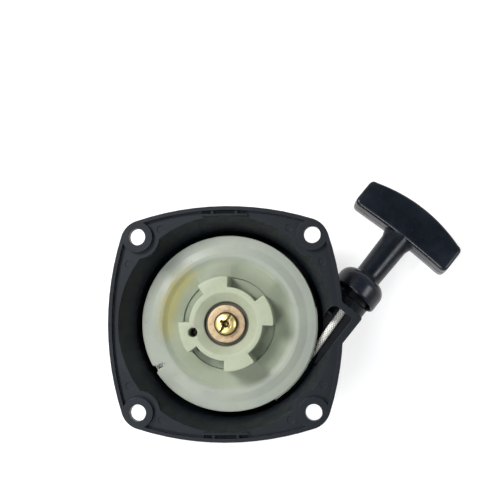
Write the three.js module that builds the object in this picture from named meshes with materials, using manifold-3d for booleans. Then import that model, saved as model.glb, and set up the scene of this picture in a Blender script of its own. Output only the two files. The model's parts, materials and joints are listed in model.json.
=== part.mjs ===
// Recoil starter of a small two-stroke engine: a moulded housing with a spring-returned rope reel
// on a spindle, and a T-shaped pull handle on the rope. Millimetres, +Z up.
//
// Frame: the origin is the centre of the closed cover face, on the reel's axis. +Z points at the
// engine, so the bowl is open towards +Z. The outlet's neck lies in the plane z = ROPE_Z, and its
// axis passes the reel's axis at NECK_OFFSET. "Neck frame" below means +X along that line, away from
// the housing, +Y across it towards the reel's axis, +Z up, with its origin at the line's foot point.

import * as THREE from 'three';
import { mergeVertices } from 'three/addons/utils/BufferGeometryUtils.js';
import Module from 'manifold-3d';

const wasm = await Module();
wasm.setup();

const DEG = Math.PI / 180;
const GAP = 0.3; // between pieces that touch
const EXTRA = 2; // how far a cut runs past the face that it opens

// ---------- driving dimensions ----------

// Heights above the cover face
const MOUNT_Z = 33.5; // the face that bolts to the engine
const LEDGE_Z = 31.7; // ledge inside the rim
const FLANGE_Z = 29.5; // underside of the flange
const FLOOR_Z = 2.6; // inside of the cover
const ROPE_Z = 14.05; // middle of the rope groove

// Housing outline: four shallow arcs with rounded corners
const HALF_WIDTH = 45.5;
const SIDE_ARC_R = 112.5;
const CORNER_R = 9;
const RIM_WALL = 1.5;

// Mounting screws
const HOLE_PITCH = 68;
const HOLE_R = 3.25;
const BOSS_R = 6;
const COLLAR_R = 8.5; // where the bowl's edge bulges round a boss

// Bowl, as inside radii
const BOWL_EDGE_R = 41.9;
const BOWL_R = 37.5;
const BOWL_FLOOR_R = 36.6;
const BOWL_WALL_TOP_Z = 19.5;
const WALL = 2.1;

// Narrow pockets in the middle of two opposite sides
const POCKET_HALF = 8.5;
const CHORD_WALL_Y = 41.85;
const CHORD_WALL = 0.7;
const POCKET_RIB_X = 4.7;
const POCKET_FLOOR_Z = 30.6;

// Outlet box and neck, in the neck frame
const NECK_ANGLE = 51 * DEG;
const NECK_OFFSET = 31.45;
const ROPE_R = 1.35;
const OUTLET_FACE_X = 34.8;
const OUTLET_LOW_Y = -8.6;
const OUTLET_HIGH_Y = 7.0;
const CHANNEL_END_X = 32.2;
const CHANNEL_LOW_Y = -5.8;
const CHANNEL_HIGH_Y = 3.9;
const OUTLET_DEPTH = 7; // below the rope line
const NECK_R = 6.8;
const NECK_COLLAR_R = 8.05; // thicker where it grows out of the outlet box
const NECK_COLLAR_X = 38.1;
const NECK_END_X = 43.5;
const MOUTH_X = 44.8; // where the rope bends as the handle hangs

// Spindle in the middle of the cover
const SPINDLE_R = 6;
const SPINDLE_FOOT_R = 8;
const SPINDLE_FOOT_Z = 11.2;
const SPINDLE_TOP_Z = 27.1;
const INSERT_R = 3.6;
const INSERT_BOTTOM_Z = 16;
const SCREW_R = 2.15;

// Reel
const REEL_R = 34.9;
const GROOVE_R = 26.7;
const GROOVE_HALF = 3.15;
const REEL_BOTTOM_Z = 3.4;
const CAVITY_R = 25.2;
const CAVITY_TOP_Z = 11.8;
const FLANGE_LOW = 1.6;
const FLANGE_TOP = 1.8;
const DISH_Z = 19.05;
const LIP_Z = 20;
const HUB_TOP_Z = 30.5;
const HUB_R = 14.4;
const HUB_SOCKET_R = 8.5;
const HUB_SHOULDER_Z = 26.8;
const LUG_R = 18.6;
const LUG_ANGLE = 40; // degrees of arc that each of the four lugs fills
const LUG_START = -3; // degrees from +X to the first lug's near side
const KNOT_POCKET_R = 2.9;
const KNOT_AT = { r: 13.25, angle: 194 };

// Rope on the reel: two columns side by side, and a last layer in the valley between them
const COLUMN_Z = 1.5;
const LAYER_R = [28.35, 31.15, 33.95];
const LEAVE_R = 33.5; // where the rope runs off

// Recoil spring
const STRIP_WIDTH = 7.4;
const STRIP_THICK = 0.5;
const SPRING_TURNS = 6;

// Handle: X runs along its own axis, from the mouth of the neck
const DROOP = 12.5 * DEG; // how far it hangs below the rope line at rest
const BELL_RIM_X = -6.1;
const BELL_R = 9.9;
const BELL_INSIDE_R = 8.9;
const BELL_TOP_X = 3.4;
const BELL_INSIDE_X = 1.75;
const STEM_R = 5.35;
const STEM_TOP_R = 5.8;
const GRIP_X = 24.4; // finger side at the stem
const GRIP_TOP_X = 39.5; // palm side at the middle
const GRIP_END_X = 23.5; // finger side at the ends
const GRIP_TOP_END_X = 35.2; // palm side at the ends
const GRIP_HALF = 22.9;
const GRIP_THICK = 11;
const GRIP_BEVEL = 1.6;
const KNOT_ROOM_R = 3.7;
const KNOT_ROOM_X = 28.6;
const CAP_SEAT_X = 36.8;
const CAP_R = 4.2;

// How finely round shapes are divided
const ROUND_LARGE = 48;
const ROUND_REEL = 48;
const ROUND_MEDIUM = 28;
const ROUND_SMALL = 20;

// ---------- helpers ----------

// A closed three.js geometry as a solid that can be joined and cut.
function solid(geometry) {
  const bare = geometry.clone();
  bare.deleteAttribute('normal');
  bare.deleteAttribute('uv');
  const merged = mergeVertices(bare, 1e-4);
  const positions = merged.attributes.position;
  const index = merged.index.array;
  const corners = [];
  let volume = 0;
  const [a, b, c] = [new THREE.Vector3(), new THREE.Vector3(), new THREE.Vector3()];
  for (let i = 0; i < index.length; i += 3) {
    const [p, q, r] = [index[i], index[i + 1], index[i + 2]];
    if (p === q || q === r || r === p) continue;
    corners.push(p, q, r);
    a.fromBufferAttribute(positions, p);
    b.fromBufferAttribute(positions, q);
    c.fromBufferAttribute(positions, r);
    volume += a.dot(b.cross(c));
  }
  if (volume < 0) corners.reverse();
  return new wasm.Manifold(new wasm.Mesh({
    numProp: 3,
    vertProperties: new Float32Array(positions.array),
    triVerts: new Uint32Array(corners),
  }));
}

// The solid's surface as a three.js geometry.
function surface(body) {
  const mesh = body.getMesh();
  const geometry = new THREE.BufferGeometry();
  geometry.setAttribute('position', new THREE.BufferAttribute(mesh.vertProperties, 3));
  geometry.setIndex(new THREE.BufferAttribute(mesh.triVerts, 1));
  geometry.computeVertexNormals();
  return geometry;
}

// A profile of [radius, height] points turned round the Z axis.
function turned(profile, segments = ROUND_MEDIUM) {
  const points = profile.map(([r, z]) => new THREE.Vector2(r, z));
  const closesItself = profile[0][0] > 0;
  if (closesItself) points.push(points[0].clone());
  return new THREE.LatheGeometry(points, segments).rotateX(Math.PI / 2);
}

// The same, turned round the X axis: the points are [radius, x].
function turnedAlongX(profile, segments = ROUND_MEDIUM) {
  return turned(profile, segments).rotateY(Math.PI / 2);
}

// A flat shape pulled up from one height to another.
function prism(shape, low, high, curveSegments = 6) {
  const options = { depth: high - low, bevelEnabled: false, curveSegments };
  return new THREE.ExtrudeGeometry(shape, options).translate(0, 0, low);
}

function block(x0, x1, y0, y1, z0, z1) {
  return new THREE.BoxGeometry(x1 - x0, y1 - y0, z1 - z0)
    .translate((x0 + x1) / 2, (y0 + y1) / 2, (z0 + z1) / 2);
}

// An upright round bar or hole at (x, y).
function post(x, y, r, low, high, segments = ROUND_SMALL) {
  return turned([[0, low], [r, low], [r, high], [0, high]], segments).translate(x, y, 0);
}

function polar(r, angle) {
  return new THREE.Vector2(r * Math.cos(angle), r * Math.sin(angle));
}

// Points along a round corner of a profile, from angle a to angle b in degrees.
function cornerArc(centreR, centreZ, radius, a, b, steps = 3) {
  const points = [];
  for (let i = 0; i <= steps; i++) {
    const angle = (a + (b - a) * i / steps) * DEG;
    points.push([centreR + radius * Math.cos(angle), centreZ + radius * Math.sin(angle)]);
  }
  return points;
}

// Part of a ring between two radii and two angles in degrees.
function ringSector(inner, outer, from, to) {
  const shape = new THREE.Shape();
  shape.absarc(0, 0, outer, from * DEG, to * DEG, false);
  shape.absarc(0, 0, inner, to * DEG, from * DEG, true);
  return shape;
}

// The housing's outline, moved inwards by inset.
function outline(inset = 0) {
  const shape = new THREE.Shape();
  const arcShift = SIDE_ARC_R - HALF_WIDTH;
  const reach = SIDE_ARC_R - CORNER_R;
  const corner = (Math.sqrt(2 * reach * reach - arcShift * arcShift) - arcShift) / 2;
  const half = Math.atan2(corner, corner + arcShift);
  for (let side = 0; side < 4; side++) {
    const turn = side * Math.PI / 2;
    const arc = polar(-arcShift, turn);
    const round = polar(corner * Math.SQRT2, turn + Math.PI / 4);
    shape.absarc(arc.x, arc.y, SIDE_ARC_R - inset, turn - half, turn + half, false);
    shape.absarc(round.x, round.y, CORNER_R - inset, turn + half, turn + Math.PI / 2 - half, false);
  }
  return shape;
}

// From the neck frame to the part's own frame.
const foot = polar(NECK_OFFSET, NECK_ANGLE - Math.PI / 2);
const fromNeckFrame = new THREE.Matrix4()
  .makeRotationZ(NECK_ANGLE)
  .setPosition(foot.x, foot.y, ROPE_Z);

function onNeckLine(geometry) {
  return geometry.applyMatrix4(fromNeckFrame);
}

function addAll(body, geometries) {
  return geometries.reduce((sum, geometry) => sum.add(solid(geometry)), body);
}

function cutAll(body, geometries) {
  return geometries.reduce((rest, geometry) => rest.subtract(solid(geometry)), body);
}

const screwPlaces = [[1, 1], [-1, 1], [-1, -1], [1, -1]]
  .map(([x, y]) => [x * HOLE_PITCH / 2, y * HOLE_PITCH / 2]);

// ---------- housing ----------

// Outside of the drum, from the axis out along the cover face and up to the flange.
function drum() {
  const faceR = 32.5;
  const edge = 5;
  const profile = [
    [0, 0],
    ...cornerArc(faceR, edge, edge, -90, -8, 5),
    [BOWL_R + WALL, BOWL_WALL_TOP_Z],
    [BOWL_EDGE_R + WALL, FLANGE_Z + 0.5],
    [BOWL_EDGE_R + WALL, MOUNT_Z],
    [0, MOUNT_Z],
  ];
  return turned(profile, ROUND_LARGE);
}

// The hollow of the bowl, down to the cover, round the spindle.
function bowlHollow() {
  const round = 1.6;
  const profile = [
    [SPINDLE_R, MOUNT_Z + EXTRA],
    [SPINDLE_R, SPINDLE_FOOT_Z],
    [SPINDLE_FOOT_R, SPINDLE_FOOT_Z],
    [SPINDLE_FOOT_R, FLOOR_Z],
    ...cornerArc(BOWL_FLOOR_R - round, FLOOR_Z + round, round, -90, 0),
    [BOWL_R, BOWL_WALL_TOP_Z],
    [BOWL_EDGE_R, LEDGE_Z],
    [BOWL_EDGE_R, MOUNT_Z + EXTRA],
  ];
  return turned(profile, ROUND_LARGE);
}

// Shallow fields between radial ribs on the cover face.
function coverFields() {
  const [inner, outer, depth] = [15, 29.5, 0.9];
  const count = 8;
  const ribDegrees = 6;
  const fields = [];
  for (let i = 0; i < count; i++) {
    const start = i * 360 / count + ribDegrees / 2;
    const end = (i + 1) * 360 / count - ribDegrees / 2;
    fields.push(prism(ringSector(inner, outer, start, end), -EXTRA, depth, 5));
  }
  return fields;
}

function makeHousing() {
  const insideRim = solid(prism(outline(RIM_WALL), FLANGE_Z, MOUNT_Z + EXTRA));
  const neckStart = 16;
  const bosses = screwPlaces.map(([x, y]) => post(x, y, BOSS_R, FLANGE_Z, MOUNT_Z, ROUND_MEDIUM));
  const collars = screwPlaces.map(([x, y]) => post(x, y, COLLAR_R, FLOOR_Z, MOUNT_Z, ROUND_MEDIUM));

  let body = solid(prism(outline(), FLANGE_Z, MOUNT_Z));
  body = body.add(solid(drum()));

  // Outlet: a box beside the bowl that turns into a round neck.
  const outletBox = prism(outletPlan(), -OUTLET_DEPTH, MOUNT_Z - ROPE_Z);
  const neck = turnedAlongX([
    [0, neckStart],
    [NECK_R, neckStart],
    [NECK_R, NECK_END_X - 1.4],
    [NECK_R - 0.4, NECK_END_X - 0.5],
    [NECK_R - 1.4, NECK_END_X],
    [0, NECK_END_X],
  ]);
  const collarRound = solid(turnedAlongX([
    [0, neckStart],
    [NECK_COLLAR_R, neckStart],
    [NECK_COLLAR_R, NECK_COLLAR_X - 0.4],
    [NECK_COLLAR_R - 0.4, NECK_COLLAR_X],
    [0, NECK_COLLAR_X],
  ]));
  const collar = surface(collarRound.intersect(solid(block(neckStart, 40, -9, 9, -2, 9))));
  body = addAll(body, [onNeckLine(outletBox), onNeckLine(neck), onNeckLine(collar)]);

  // Bowl, ledge and screw holes.
  body = body.subtract(cutAll(solid(bowlHollow()), collars));
  const ledgeCut = solid(prism(outline(RIM_WALL), LEDGE_Z, MOUNT_Z + EXTRA));
  body = body.subtract(cutAll(ledgeCut, bosses));
  const holes = screwPlaces.map(([x, y]) => post(x, y, HOLE_R, FLANGE_Z - EXTRA, MOUNT_Z + EXTRA, 24));
  body = cutAll(body, holes);

  // Pockets on two sides, each behind a thin straight wall and split by two ribs.
  const pocketInnerY = CHORD_WALL_Y + CHORD_WALL;
  for (const side of [1, -1]) {
    const span = (a, b) => (side > 0 ? [a, b] : [-b, -a]);
    const cut = block(-POCKET_HALF, POCKET_HALF, ...span(pocketInnerY, HALF_WIDTH), POCKET_FLOOR_Z, 40);
    body = body.subtract(solid(cut).intersect(insideRim));
    const wall = block(-POCKET_HALF - 0.5, POCKET_HALF + 0.5, ...span(CHORD_WALL_Y, pocketInnerY),
      LEDGE_Z - 1, MOUNT_Z - 0.4);
    const ribs = [-POCKET_RIB_X, POCKET_RIB_X].map((x) => block(
      x - 0.5, x + 0.5, ...span(pocketInnerY - 0.2, HALF_WIDTH - RIM_WALL + 0.3),
      POCKET_FLOOR_Z - 1, MOUNT_Z - 0.8,
    ));
    body = addAll(body, [wall, ...ribs]);
  }

  // Rope channel, open towards the engine, with a small rib beside the rope.
  const channelDepth = 4.2;
  const channel = prism(channelPlan(), -channelDepth, MOUNT_Z - ROPE_Z + EXTRA);
  body = cutAll(body, [onNeckLine(channel)]);
  const fin = block(27.9, 28.7, 1.7, CHANNEL_HIGH_Y + 0.6, -channelDepth - 0.5, 8);
  body = addAll(body, [onNeckLine(fin)]);

  // Bore of the neck, with a seat for the eyelet.
  const ropeBore = turnedAlongX([
    [0, CHANNEL_END_X - EXTRA],
    [2.6, CHANNEL_END_X - EXTRA],
    [2.6, EYELET_START_X - GAP],
    [EYELET_R + GAP, EYELET_START_X - GAP],
    [EYELET_R + GAP, NECK_END_X + EXTRA],
    [0, NECK_END_X + EXTRA],
  ], ROUND_SMALL);
  body = cutAll(body, [onNeckLine(ropeBore)]);

  // Spindle: hole for the insert and screw, and a slot for the spring's inner end.
  const spindleHole = turned([
    [0, SPINDLE_FOOT_Z],
    [SCREW_R + 0.45, SPINDLE_FOOT_Z],
    [SCREW_R + 0.45, INSERT_BOTTOM_Z - GAP],
    [INSERT_R + GAP, INSERT_BOTTOM_Z - GAP],
    [INSERT_R + GAP, SPINDLE_TOP_Z + EXTRA],
    [0, SPINDLE_TOP_Z + EXTRA],
  ], ROUND_SMALL);
  const aboveSpindle = post(0, 0, SPINDLE_R + 0.5, SPINDLE_TOP_Z, MOUNT_Z + EXTRA);
  const hookSlot = block(4.6, SPINDLE_FOOT_R + 1, -0.7, 2, FLOOR_Z + 0.4, SPINDLE_FOOT_Z + 0.2);
  body = cutAll(body, [spindleHole, aboveSpindle, hookSlot]);

  // Round marks left on the ledge by the mould's ejector pins.
  const marks = [];
  for (const [x, y] of [[25, 36.9], [37.6, 23.6]]) {
    for (const [sx, sy] of [[1, 1], [-1, 1], [-1, -1], [1, -1]]) {
      marks.push(post(sx * x, sy * y, 1.4, LEDGE_Z - 0.25, LEDGE_Z + 0.5, 12));
    }
  }
  body = cutAll(body, marks);
  return cutAll(body, coverFields());
}

// A plan that runs along the neck line to a far end with two round corners.
function runOut(startX, endX, low, high, lowRound, highRound) {
  const shape = new THREE.Shape();
  shape.moveTo(startX, low);
  shape.lineTo(endX - lowRound, low);
  shape.absarc(endX - lowRound, low + lowRound, lowRound, -Math.PI / 2, 0, false);
  shape.absarc(endX - highRound, high - highRound, highRound, 0, Math.PI / 2, false);
  shape.lineTo(startX, high);
  return shape;
}

function outletPlan() {
  return runOut(5, OUTLET_FACE_X, OUTLET_LOW_Y, OUTLET_HIGH_Y, 1.4, 4);
}

function channelPlan() {
  return runOut(8, CHANNEL_END_X, CHANNEL_LOW_Y, CHANNEL_HIGH_Y, 1.5, 3);
}

// ---------- small fixed pieces ----------

const EYELET_START_X = 38.5;
const EYELET_R = 3.4;
const EYELET_LIP_R = 4.8;
const EYELET_LIP = 0.9;

function makeEyelet() {
  const bore = 2;
  const lipX = NECK_END_X + GAP;
  return turnedAlongX([
    [EYELET_R, EYELET_START_X],
    [EYELET_R, lipX],
    [EYELET_LIP_R, lipX],
    [EYELET_LIP_R, lipX + 0.4],
    [EYELET_LIP_R - 0.5, lipX + EYELET_LIP],
    [bore + 0.7, lipX + EYELET_LIP],
    [bore, lipX + 0.2],
    [bore, EYELET_START_X + 0.6],
    [bore + 0.6, EYELET_START_X],
  ], ROUND_SMALL);
}

function makeInsert() {
  const bore = SCREW_R + GAP;
  const top = SPINDLE_TOP_Z - 0.2;
  return turned([
    [bore, INSERT_BOTTOM_Z],
    [INSERT_R, INSERT_BOTTOM_Z],
    [INSERT_R, top],
    [bore, top],
  ], ROUND_SMALL);
}

const WASHER_BOTTOM_Z = SPINDLE_TOP_Z + GAP;
const WASHER_TOP_Z = WASHER_BOTTOM_Z + 1.1;

function makeWasher() {
  const [inner, outer] = [2.7, 7.4];
  return turned([
    [inner, WASHER_BOTTOM_Z],
    [outer, WASHER_BOTTOM_Z],
    [outer, WASHER_TOP_Z - 0.2],
    [outer - 0.2, WASHER_TOP_Z],
    [inner, WASHER_TOP_Z],
  ], ROUND_MEDIUM);
}

// Pan-head screw whose recess takes a cross or a flat driver.
function makeScrew() {
  const headR = 4.65;
  const headHeight = 2.7;
  const seat = WASHER_TOP_Z + GAP;
  const top = seat + headHeight;
  const tip = SPINDLE_FOOT_Z + 1.2;
  let body = solid(turned([
    [0, tip],
    [SCREW_R - 0.6, tip],
    [SCREW_R, tip + 0.8],
    [SCREW_R, seat],
    [headR, seat],
    [headR, seat + 1.2],
    [headR - 0.45, seat + 2],
    [headR - 1.5, top - 0.15],
    [headR - 2.6, top],
    [0, top],
  ], 24));
  const recessDepth = 1.3;
  const slotAngle = 58 * DEG;
  const slot = block(-headR - 1, headR + 1, -0.5, 0.5, top - recessDepth, top + 1);
  const cross = block(-0.55, 0.55, -2.3, 2.3, top - recessDepth, top + 1);
  body = cutAll(body, [slot, cross].map((g) => g.rotateZ(slotAngle)));
  return surface(body);
}

// Flat steel strip wound in a spiral: its inner end sits in the spindle's slot and its outer end
// in a slot of the reel's cavity wall.
function makeSpring() {
  const [firstR, lastR] = [9.2, CAVITY_R - 0.7];
  const stepsPerTurn = 18;
  const points = [];
  const startAngle = 16 * DEG;
  const middleZ = CAVITY_TOP_Z - 0.4 - STRIP_WIDTH / 2;
  const innerEnd = [[5.4, 0], [6.6, 0], [7.8, 0.1], [8.8, 0.9]];
  for (const [x, y] of innerEnd) points.push(new THREE.Vector3(x, y, middleZ));
  const last = SPRING_TURNS * stepsPerTurn;
  for (let i = 0; i <= last; i++) {
    const place = polar(firstR + (lastR - firstR) * i / last, startAngle + i * 2 * Math.PI / stepsPerTurn);
    points.push(new THREE.Vector3(place.x, place.y, middleZ));
  }
  for (const [r, degrees] of [[CAVITY_R, 33], [CAVITY_R + 1.1, 38]]) {
    const place = polar(r, degrees * DEG);
    points.push(new THREE.Vector3(place.x, place.y, middleZ));
  }
  const section = new THREE.Shape();
  const [w, t] = [STRIP_WIDTH / 2, STRIP_THICK / 2];
  section.moveTo(-w, -t).lineTo(w, -t).lineTo(w, t).lineTo(-w, t).closePath();
  const path = new THREE.CatmullRomCurve3(points);
  path.arcLengthDivisions = 1200;
  return new THREE.ExtrudeGeometry(section, { steps: last + 14, extrudePath: path, bevelEnabled: false });
}

// ---------- reel ----------

const grooveLow = ROPE_Z - GROOVE_HALF;
const grooveHigh = ROPE_Z + GROOVE_HALF;
const reelTop = grooveHigh + FLANGE_TOP;

function reelProfile() {
  return [
    [SPINDLE_R + GAP, CAVITY_TOP_Z],
    [CAVITY_R, CAVITY_TOP_Z],
    [CAVITY_R, REEL_BOTTOM_Z],
    [GROOVE_R, REEL_BOTTOM_Z],
    [GROOVE_R, grooveLow - FLANGE_LOW],
    [REEL_R - 0.3, grooveLow - FLANGE_LOW],
    [REEL_R, grooveLow - FLANGE_LOW + 0.3],
    [REEL_R, grooveLow],
    [GROOVE_R, grooveLow],
    [GROOVE_R, grooveHigh],
    [REEL_R, grooveHigh],
    [REEL_R, reelTop - 0.4],
    [REEL_R - 0.4, reelTop],
    [29.7, reelTop],
    [28.4, LIP_Z - 0.3],
    [27.5, LIP_Z],
    [26.5, LIP_Z - 0.15],
    [25.8, DISH_Z + 0.3],
    [25.1, DISH_Z],
    [LUG_R - 0.1, DISH_Z],
    [LUG_R - 0.2, DISH_Z - 1],
    [HUB_R, DISH_Z - 1],
    [HUB_R, HUB_TOP_Z - 0.5],
    [HUB_R - 0.5, HUB_TOP_Z],
    [11.2, HUB_TOP_Z],
    [9.4, HUB_TOP_Z - 0.7],
    [HUB_SOCKET_R, HUB_TOP_Z - 2],
    [HUB_SOCKET_R, HUB_SHOULDER_Z],
    [SPINDLE_R + GAP, HUB_SHOULDER_Z],
  ];
}

// Slot in the upper flange that the rope can be lifted through, with a flared mouth.
function ropeNotch() {
  const [half, mouth, depth] = [0.85, 1.7, 4.4];
  const bottom = REEL_R - depth + half;
  const shape = new THREE.Shape();
  shape.moveTo(REEL_R + 1, -mouth - 0.4);
  shape.lineTo(REEL_R, -mouth);
  shape.quadraticCurveTo(REEL_R - 0.9, -half, REEL_R - 1.6, -half);
  shape.lineTo(bottom, -half);
  shape.absarc(bottom, 0, half, -Math.PI / 2, Math.PI / 2, true);
  shape.lineTo(REEL_R - 1.6, half);
  shape.quadraticCurveTo(REEL_R - 0.9, half, REEL_R, mouth);
  shape.lineTo(REEL_R + 1, mouth + 0.4);
  return prism(shape, grooveHigh - 0.5, reelTop + 1, 4).rotateZ(211 * DEG);
}

function makeReel() {
  let body = solid(turned(reelProfile(), ROUND_REEL));
  const lugs = [];
  for (let i = 0; i < 4; i++) {
    const start = LUG_START + 90 * i;
    const lug = ringSector(HUB_R - 1.5, LUG_R, start, start + LUG_ANGLE);
    lugs.push(prism(lug, DISH_Z - 2, HUB_TOP_Z, 5));
  }
  const wideFlange = prism(ringSector(REEL_R - 1, REEL_R + 0.4, -59, 10), grooveHigh, reelTop - 0.3, 6);
  body = addAll(body, [...lugs, wideFlange]);

  const knot = polar(KNOT_AT.r, KNOT_AT.angle * DEG);
  const mark = polar(15.5, 219 * DEG);
  const passage = turnedAlongX([
    [0, KNOT_AT.r],
    [ROPE_R + 0.45, KNOT_AT.r],
    [ROPE_R + 0.45, GROOVE_R + 0.6],
    [0, GROOVE_R + 0.6],
  ], 12).translate(0, 0, ROPE_Z + COLUMN_Z).rotateZ(KNOT_AT.angle * DEG);
  const passageMouth = block(GROOVE_R - 4, GROOVE_R + 1, 0, 5.4, -ROPE_R - 0.4, ROPE_R + 0.4)
    .translate(0, 0, ROPE_Z + COLUMN_Z)
    .rotateZ(KNOT_AT.angle * DEG);
  const slotPlan = ringSector(CAVITY_R - 1, GROOVE_R + 1, 28, 41);
  const springSlot = prism(slotPlan, REEL_BOTTOM_Z - 1, CAVITY_TOP_Z - 0.01, 2);
  return surface(cutAll(body, [
    post(knot.x, knot.y, 1.8, CAVITY_TOP_Z - 1, HUB_TOP_Z + 1),
    post(knot.x, knot.y, KNOT_POCKET_R, CAVITY_TOP_Z - 1, CAVITY_TOP_Z + 6.5),
    post(mark.x, mark.y, 1, DISH_Z - 2.6, DISH_Z, 12),
    passage,
    passageMouth,
    springSlot,
    ropeNotch(),
  ]));
}

// ---------- rope ----------

function smooth(t) {
  const x = Math.min(Math.max(t, 0), 1);
  return x * x * (3 - 2 * x);
}

// Rope with a round section along a path.
function ropeAlong(points, steps) {
  const section = new THREE.Shape();
  section.absarc(0, 0, ROPE_R, 0, 2 * Math.PI, false);
  const path = new THREE.CatmullRomCurve3(points);
  path.arcLengthDivisions = 1500;
  const options = { steps, extrudePath: path, bevelEnabled: false, curveSegments: 4 };
  return new THREE.ExtrudeGeometry(section, options);
}

// Where the rope lies on the reel, degrees after its first turn starts: it fills the lower layer
// column by column, then the upper one, and ends in the valley between the two columns.
function windingPlace(degrees) {
  const cross = (start) => smooth((degrees - start) / 30);
  const sideways = -2 * COLUMN_Z * cross(318) + 2 * COLUMN_Z * cross(978) - COLUMN_Z * cross(1308);
  const climb = (LAYER_R[1] - LAYER_R[0]) * cross(648) + (LAYER_R[2] - LAYER_R[1]) * cross(1308);
  const settle = (LAYER_R[2] - LEAVE_R) * smooth((degrees - 1375) / 70);
  return { r: LAYER_R[0] + climb - settle, z: ROPE_Z + COLUMN_Z + sideways };
}

// The rope runs straight from a tangent of its last turn to the mouth of the neck.
const mouth = new THREE.Vector2(MOUTH_X, 0).rotateAround(new THREE.Vector2(), NECK_ANGLE).add(foot);
const leaveAngle = mouth.angle() - Math.acos(LEAVE_R / mouth.length());
const runAngle = leaveAngle + Math.PI / 2;
const runLength = Math.sqrt(mouth.lengthSq() - LEAVE_R * LEAVE_R);

function makeWinding() {
  const leave = 360 + leaveAngle / DEG;
  const turnIn = 13; // degrees over which it turns out of its passage
  const firstAngle = KNOT_AT.angle + turnIn;
  const wound = leave - firstAngle + 4 * 360;
  const stepDegrees = 15;
  const points = [];
  const firstR = LAYER_R[0];
  const inwards = [
    [KNOT_AT.r + 4.2, 0], [firstR - 7.6, 0], [firstR - 4, 0], [firstR - 1.7, 1.6], [firstR - 0.4, 5.6],
  ];
  for (const [r, after] of inwards) {
    const place = polar(r, (KNOT_AT.angle + after) * DEG);
    points.push(new THREE.Vector3(place.x, place.y, ROPE_Z + COLUMN_Z));
  }
  const count = Math.round(wound / stepDegrees);
  for (let i = 0; i <= count; i++) {
    const degrees = wound * i / count;
    const { r, z } = windingPlace(degrees);
    const place = polar(r, (firstAngle + degrees) * DEG);
    points.push(new THREE.Vector3(place.x, place.y, z));
  }
  return ropeAlong(points, count + 6);
}

function straightRope(fromX, toX) {
  return turnedAlongX([[0, fromX], [ROPE_R, fromX], [ROPE_R, toX], [0, toX]], 8);
}

function knot(radius, length) {
  const segments = [14, 10];
  return new THREE.SphereGeometry(radius, ...segments).scale(1, 1, length / (2 * radius));
}

// ---------- handle, in its own frame ----------

// Plan of the grip: both long edges are shallow arcs that bulge away from the housing.
function gripPlan() {
  const inset = GRIP_BEVEL;
  const half = GRIP_HALF - inset;
  const fingerEndX = GRIP_END_X + inset;
  const fingerMidX = GRIP_X + inset;
  const palmEndX = GRIP_TOP_END_X - inset;
  const palmMidX = GRIP_TOP_X - inset;
  const shape = new THREE.Shape();
  shape.moveTo(fingerEndX, -half);
  shape.lineTo(palmEndX, -half);
  shape.quadraticCurveTo(2 * palmMidX - palmEndX, 0, palmEndX, half);
  shape.lineTo(fingerEndX, half);
  shape.quadraticCurveTo(2 * fingerMidX - fingerEndX, 0, fingerEndX, -half);
  return shape;
}

function makeHandle() {
  const grip = new THREE.ExtrudeGeometry(gripPlan(), {
    depth: GRIP_THICK - 2 * GRIP_BEVEL,
    bevelEnabled: true,
    bevelThickness: GRIP_BEVEL,
    bevelSize: GRIP_BEVEL,
    bevelSegments: 3,
    curveSegments: 10,
  }).translate(0, 0, GRIP_BEVEL - GRIP_THICK / 2);
  const shoulder = 4.6;
  const stem = turnedAlongX([
    [0, KNOT_ROOM_X - 0.5],
    [STEM_TOP_R, KNOT_ROOM_X - 0.5],
    [STEM_TOP_R, GRIP_X - 2.6],
    [STEM_R, BELL_TOP_X + 0.8],
    [STEM_R + 0.5, BELL_TOP_X],
    ...cornerArc(BELL_R - shoulder - 0.45, BELL_TOP_X - shoulder, shoulder, 76, 4, 4),
    [BELL_R, BELL_RIM_X + 1.2],
    [BELL_R, BELL_RIM_X],
    [BELL_INSIDE_R, BELL_RIM_X],
    [BELL_INSIDE_R - 0.2, BELL_RIM_X + 2.2],
    [BELL_INSIDE_R - 1, BELL_INSIDE_X - 2.7],
    [BELL_INSIDE_R - 2.8, BELL_INSIDE_X - 0.8],
    [BELL_INSIDE_R - 4.4, BELL_INSIDE_X],
    [0, BELL_INSIDE_X],
  ]);
  // The stem flattens a little towards the grip, and widens into it.
  const position = stem.attributes.position;
  for (let i = 0; i < position.count; i++) {
    const flat = smooth((position.getX(i) - BELL_TOP_X - 2) / (GRIP_X - BELL_TOP_X - 6));
    position.setZ(i, position.getZ(i) * (1 - 0.11 * flat));
  }
  const flare = turnedAlongX([
    [0, GRIP_X - 2],
    [STEM_TOP_R - 0.2, GRIP_X - 2],
    [STEM_TOP_R + 0.4, GRIP_X - 1],
    [STEM_TOP_R + 1.5, GRIP_X + 0.5],
    [0, GRIP_X + 2],
  ]).scale(1, 1, 0.66);
  let body = addAll(solid(grip), [stem, flare]);
  const holeR = ROPE_R + 0.4;
  const ropeHole = turnedAlongX([
    [0, BELL_RIM_X], [holeR, BELL_RIM_X], [holeR, KNOT_ROOM_X + EXTRA], [0, KNOT_ROOM_X + EXTRA],
  ], 16);
  const knotRoom = turnedAlongX([
    [0, KNOT_ROOM_X],
    [KNOT_ROOM_R, KNOT_ROOM_X],
    [KNOT_ROOM_R, CAP_SEAT_X],
    [CAP_R + GAP, CAP_SEAT_X],
    [CAP_R + GAP, GRIP_TOP_X + EXTRA],
    [0, GRIP_TOP_X + EXTRA],
  ], 24);
  body = cutAll(body, [ropeHole, knotRoom]);
  return surface(body);
}

function makeHandleCap() {
  const seat = CAP_SEAT_X + GAP;
  return turnedAlongX([
    [0, seat - 1.6],
    [KNOT_ROOM_R - 0.4, seat - 1.6],
    [KNOT_ROOM_R - 0.3, seat],
    [CAP_R, seat],
    [CAP_R, GRIP_TOP_X - 0.5],
    [CAP_R - 0.4, GRIP_TOP_X - 0.2],
    [0, GRIP_TOP_X],
  ], 24);
}

// ---------- assembly ----------

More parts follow.
